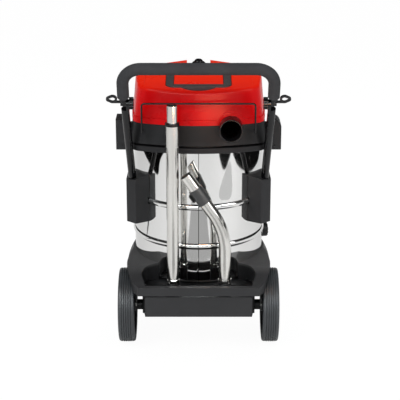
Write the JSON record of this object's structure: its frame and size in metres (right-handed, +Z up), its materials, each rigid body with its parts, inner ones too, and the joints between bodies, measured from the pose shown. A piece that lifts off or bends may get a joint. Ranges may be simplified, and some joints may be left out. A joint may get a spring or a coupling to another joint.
{
  "type": "shop vacuum",
  "caption": "Upright wet and dry shop vacuum: steel drum on a two-wheeled base with swivel casters, latched motor head, folding push handle and stored suction tubes.",
  "frame": {"origin": "on the floor, under the axis of the drum", "axes": "+Z up, +Y to the front where the casters are, +X to the right of someone behind the push handle"},
  "size_m": [0.5, 0.5262, 0.8491],
  "materials": {
    "stainless": "polished stainless sheet",
    "tube_steel": "bright stainless tube",
    "red_plastic": "satin moulded",
    "black_plastic": "fine-textured moulded",
    "gloss_black": "smooth moulded",
    "black_paint": "gloss powder coat on steel tube",
    "foam": "closed-cell foam",
    "tyre": "ribbed tread",
    "rubber": "moulded seal",
    "zinc": "zinc plated",
    "paper": "pleated filter paper with moulded ends",
    "copper_iron": "laminated iron and windings"
  },
  "bodies": {
    "machine": {"axle_clips": "zinc", "blow_port": "gloss_black", "bracket_screws": "zinc", "button_bezel": "gloss_black", "cable_gland": "black_plastic", "carry_pins": "zinc", "chassis": "black_plastic", "drain_spigot": "stainless", "filter_cage": "black_plastic", "filter_cap": "black_plastic", "filter_cartridge": "paper", "handle_bracket_left": "black_plastic", "handle_bracket_right": "black_plastic", "handle_tube_left": "black_paint", "handle_tube_right": "black_paint", "head_base": "black_plastic", "head_cover": "red_plastic", "head_seal": "rubber", "intake_deflector": "black_plastic", "intake_port": "black_plastic", "latch_pins": "zinc", "motor_bearings": "zinc", "motor_can": "zinc", "motor_stator": "copper_iron", "rear_axle": "zinc", "switch_bezel": "black_plastic", "tank": "stainless", "tank_collar": "black_plastic", "turbine_housing": "black_plastic", "wire_bail": "black_paint"},
    "handle": {"upper_handle": "black_paint", "foam_grip": "foam", "cable_hooks": "black_plastic"},
    "knob_left": {"star_knob_left": "gloss_black"},
    "knob_right": {"star_knob_right": "gloss_black"},
    "wheel_left": {"wheel_rim_left": "black_plastic", "tyre_left": "tyre", "hub_cap_left": "black_plastic"},
    "wheel_right": {"wheel_rim_right": "black_plastic", "tyre_right": "tyre", "hub_cap_right": "black_plastic"},
    "caster_left": {"caster_fork_left": "black_plastic"},
    "caster_right": {"caster_fork_right": "black_plastic"},
    "caster_roll_left": {"caster_wheel_left": "black_plastic"},
    "caster_roll_right": {"caster_wheel_right": "black_plastic"},
    "latch_left": {"latch_left": "black_plastic"},
    "latch_right": {"latch_right": "black_plastic"},
    "carry": {"carry_handle": "gloss_black"},
    "button": {"cleaning_button": "gloss_black"},
    "switch": {"switch_knob": "gloss_black"},
    "drain": {"drain_cap": "gloss_black"},
    "rotor": {"motor_rotor": "copper_iron", "impeller": "zinc"},
    "float": {"float_cup": "black_plastic"},
    "straight_tube": {"straight_tube_outer": "tube_steel", "tube_lock": "gloss_black"},
    "telescope": {"straight_tube_inner": "tube_steel"},
    "wand": {"bent_wand": "tube_steel", "wand_sleeve": "gloss_black"},
    "slider": {"air_slider": "gloss_black"}
  },
  "joints": [
    {"name": "handle_fold", "type": "hinge", "parent": "machine", "child": "handle", "pos_m": [0, -0.238, 0.728], "axis": [1, 0, 0], "range_deg": [-75, 90]},
    {"name": "knob_turn_left", "type": "hinge", "parent": "handle", "child": "knob_left", "pos_m": [0, -0.238, 0.728], "axis": [1, 0, 0], "range_deg": [0, 360]},
    {"name": "knob_turn_right", "type": "hinge", "parent": "handle", "child": "knob_right", "pos_m": [0, -0.238, 0.728], "axis": [1, 0, 0], "range_deg": [0, 360]},
    {"name": "wheel_roll_left", "type": "hinge", "parent": "machine", "child": "wheel_left", "pos_m": [-0.2065, -0.173, 0.108], "axis": [1, 0, 0], "continuous": true},
    {"name": "wheel_roll_right", "type": "hinge", "parent": "machine", "child": "wheel_right", "pos_m": [0.2065, -0.173, 0.108], "axis": [1, 0, 0], "continuous": true},
    {"name": "caster_swivel_left", "type": "hinge", "parent": "machine", "child": "caster_left", "pos_m": [-0.138, 0.132, 0.1], "axis": [0, 0, 1], "continuous": true},
    {"name": "caster_wheel_roll_left", "type": "hinge", "parent": "caster_left", "child": "caster_roll_left", "pos_m": [-0.138, 0.106, 0.0375], "axis": [1, 0, 0], "continuous": true},
    {"name": "latch_open_left", "type": "hinge", "parent": "machine", "child": "latch_left", "pos_m": [-0.218, -0.048, 0.566], "axis": [0, -1, 0], "range_deg": [0, 75]},
    {"name": "caster_swivel_right", "type": "hinge", "parent": "machine", "child": "caster_right", "pos_m": [0.138, 0.132, 0.1], "axis": [0, 0, 1], "continuous": true},
    {"name": "caster_wheel_roll_right", "type": "hinge", "parent": "caster_right", "child": "caster_roll_right", "pos_m": [0.138, 0.106, 0.0375], "axis": [1, 0, 0], "continuous": true},
    {"name": "latch_open_right", "type": "hinge", "parent": "machine", "child": "latch_right", "pos_m": [0.218, -0.048, 0.566], "axis": [0, 1, 0], "range_deg": [0, 75]},
    {"name": "carry_handle_lift", "type": "hinge", "parent": "machine", "child": "carry", "pos_m": [0, 0.025, 0.763], "axis": [-1, 0, 0], "range_deg": [0, 90]},
    {"name": "cleaning_button_press", "type": "slide", "parent": "machine", "child": "button", "axis": [0, 0, -1], "range_m": [0, 0.006], "stiffness_N_per_m": 600},
    {"name": "switch_turn", "type": "hinge", "parent": "machine", "child": "switch", "pos_m": [0, 0.152, 0.72454], "axis": [0, 0.556, 0.8312], "range_deg": [-60, 60]},
    {"name": "drain_cap_turn", "type": "hinge", "parent": "machine", "child": "drain", "pos_m": [0.18353, 0.04918, 0.262], "axis": [0.9659, 0.2588, 0], "range_deg": [0, 360]},
    {"name": "rotor_spin", "type": "hinge", "parent": "machine", "child": "rotor", "pos_m": [0, 0, 0.65], "axis": [0, 0, 1], "continuous": true},
    {"name": "float_rise", "type": "slide", "parent": "machine", "child": "float", "axis": [0, 0, 1], "range_m": [0, 0.08]},
    {"name": "straight_tube_lift", "type": "slide", "parent": "machine", "child": "straight_tube", "axis": [0, 0, 1], "range_m": [0, 0.06]},
    {"name": "telescope_extend", "type": "slide", "parent": "straight_tube", "child": "telescope", "axis": [0, 0, 1], "range_m": [0, 0.06]},
    {"name": "wand_lift", "type": "slide", "parent": "machine", "child": "wand", "axis": [0, 0, 1], "range_m": [0, 0.06]},
    {"name": "air_slider_slide", "type": "slide", "parent": "wand", "child": "slider", "axis": [-0.5664, 0, 0.8241], "range_m": [-0.01, 0]}
  ]
}
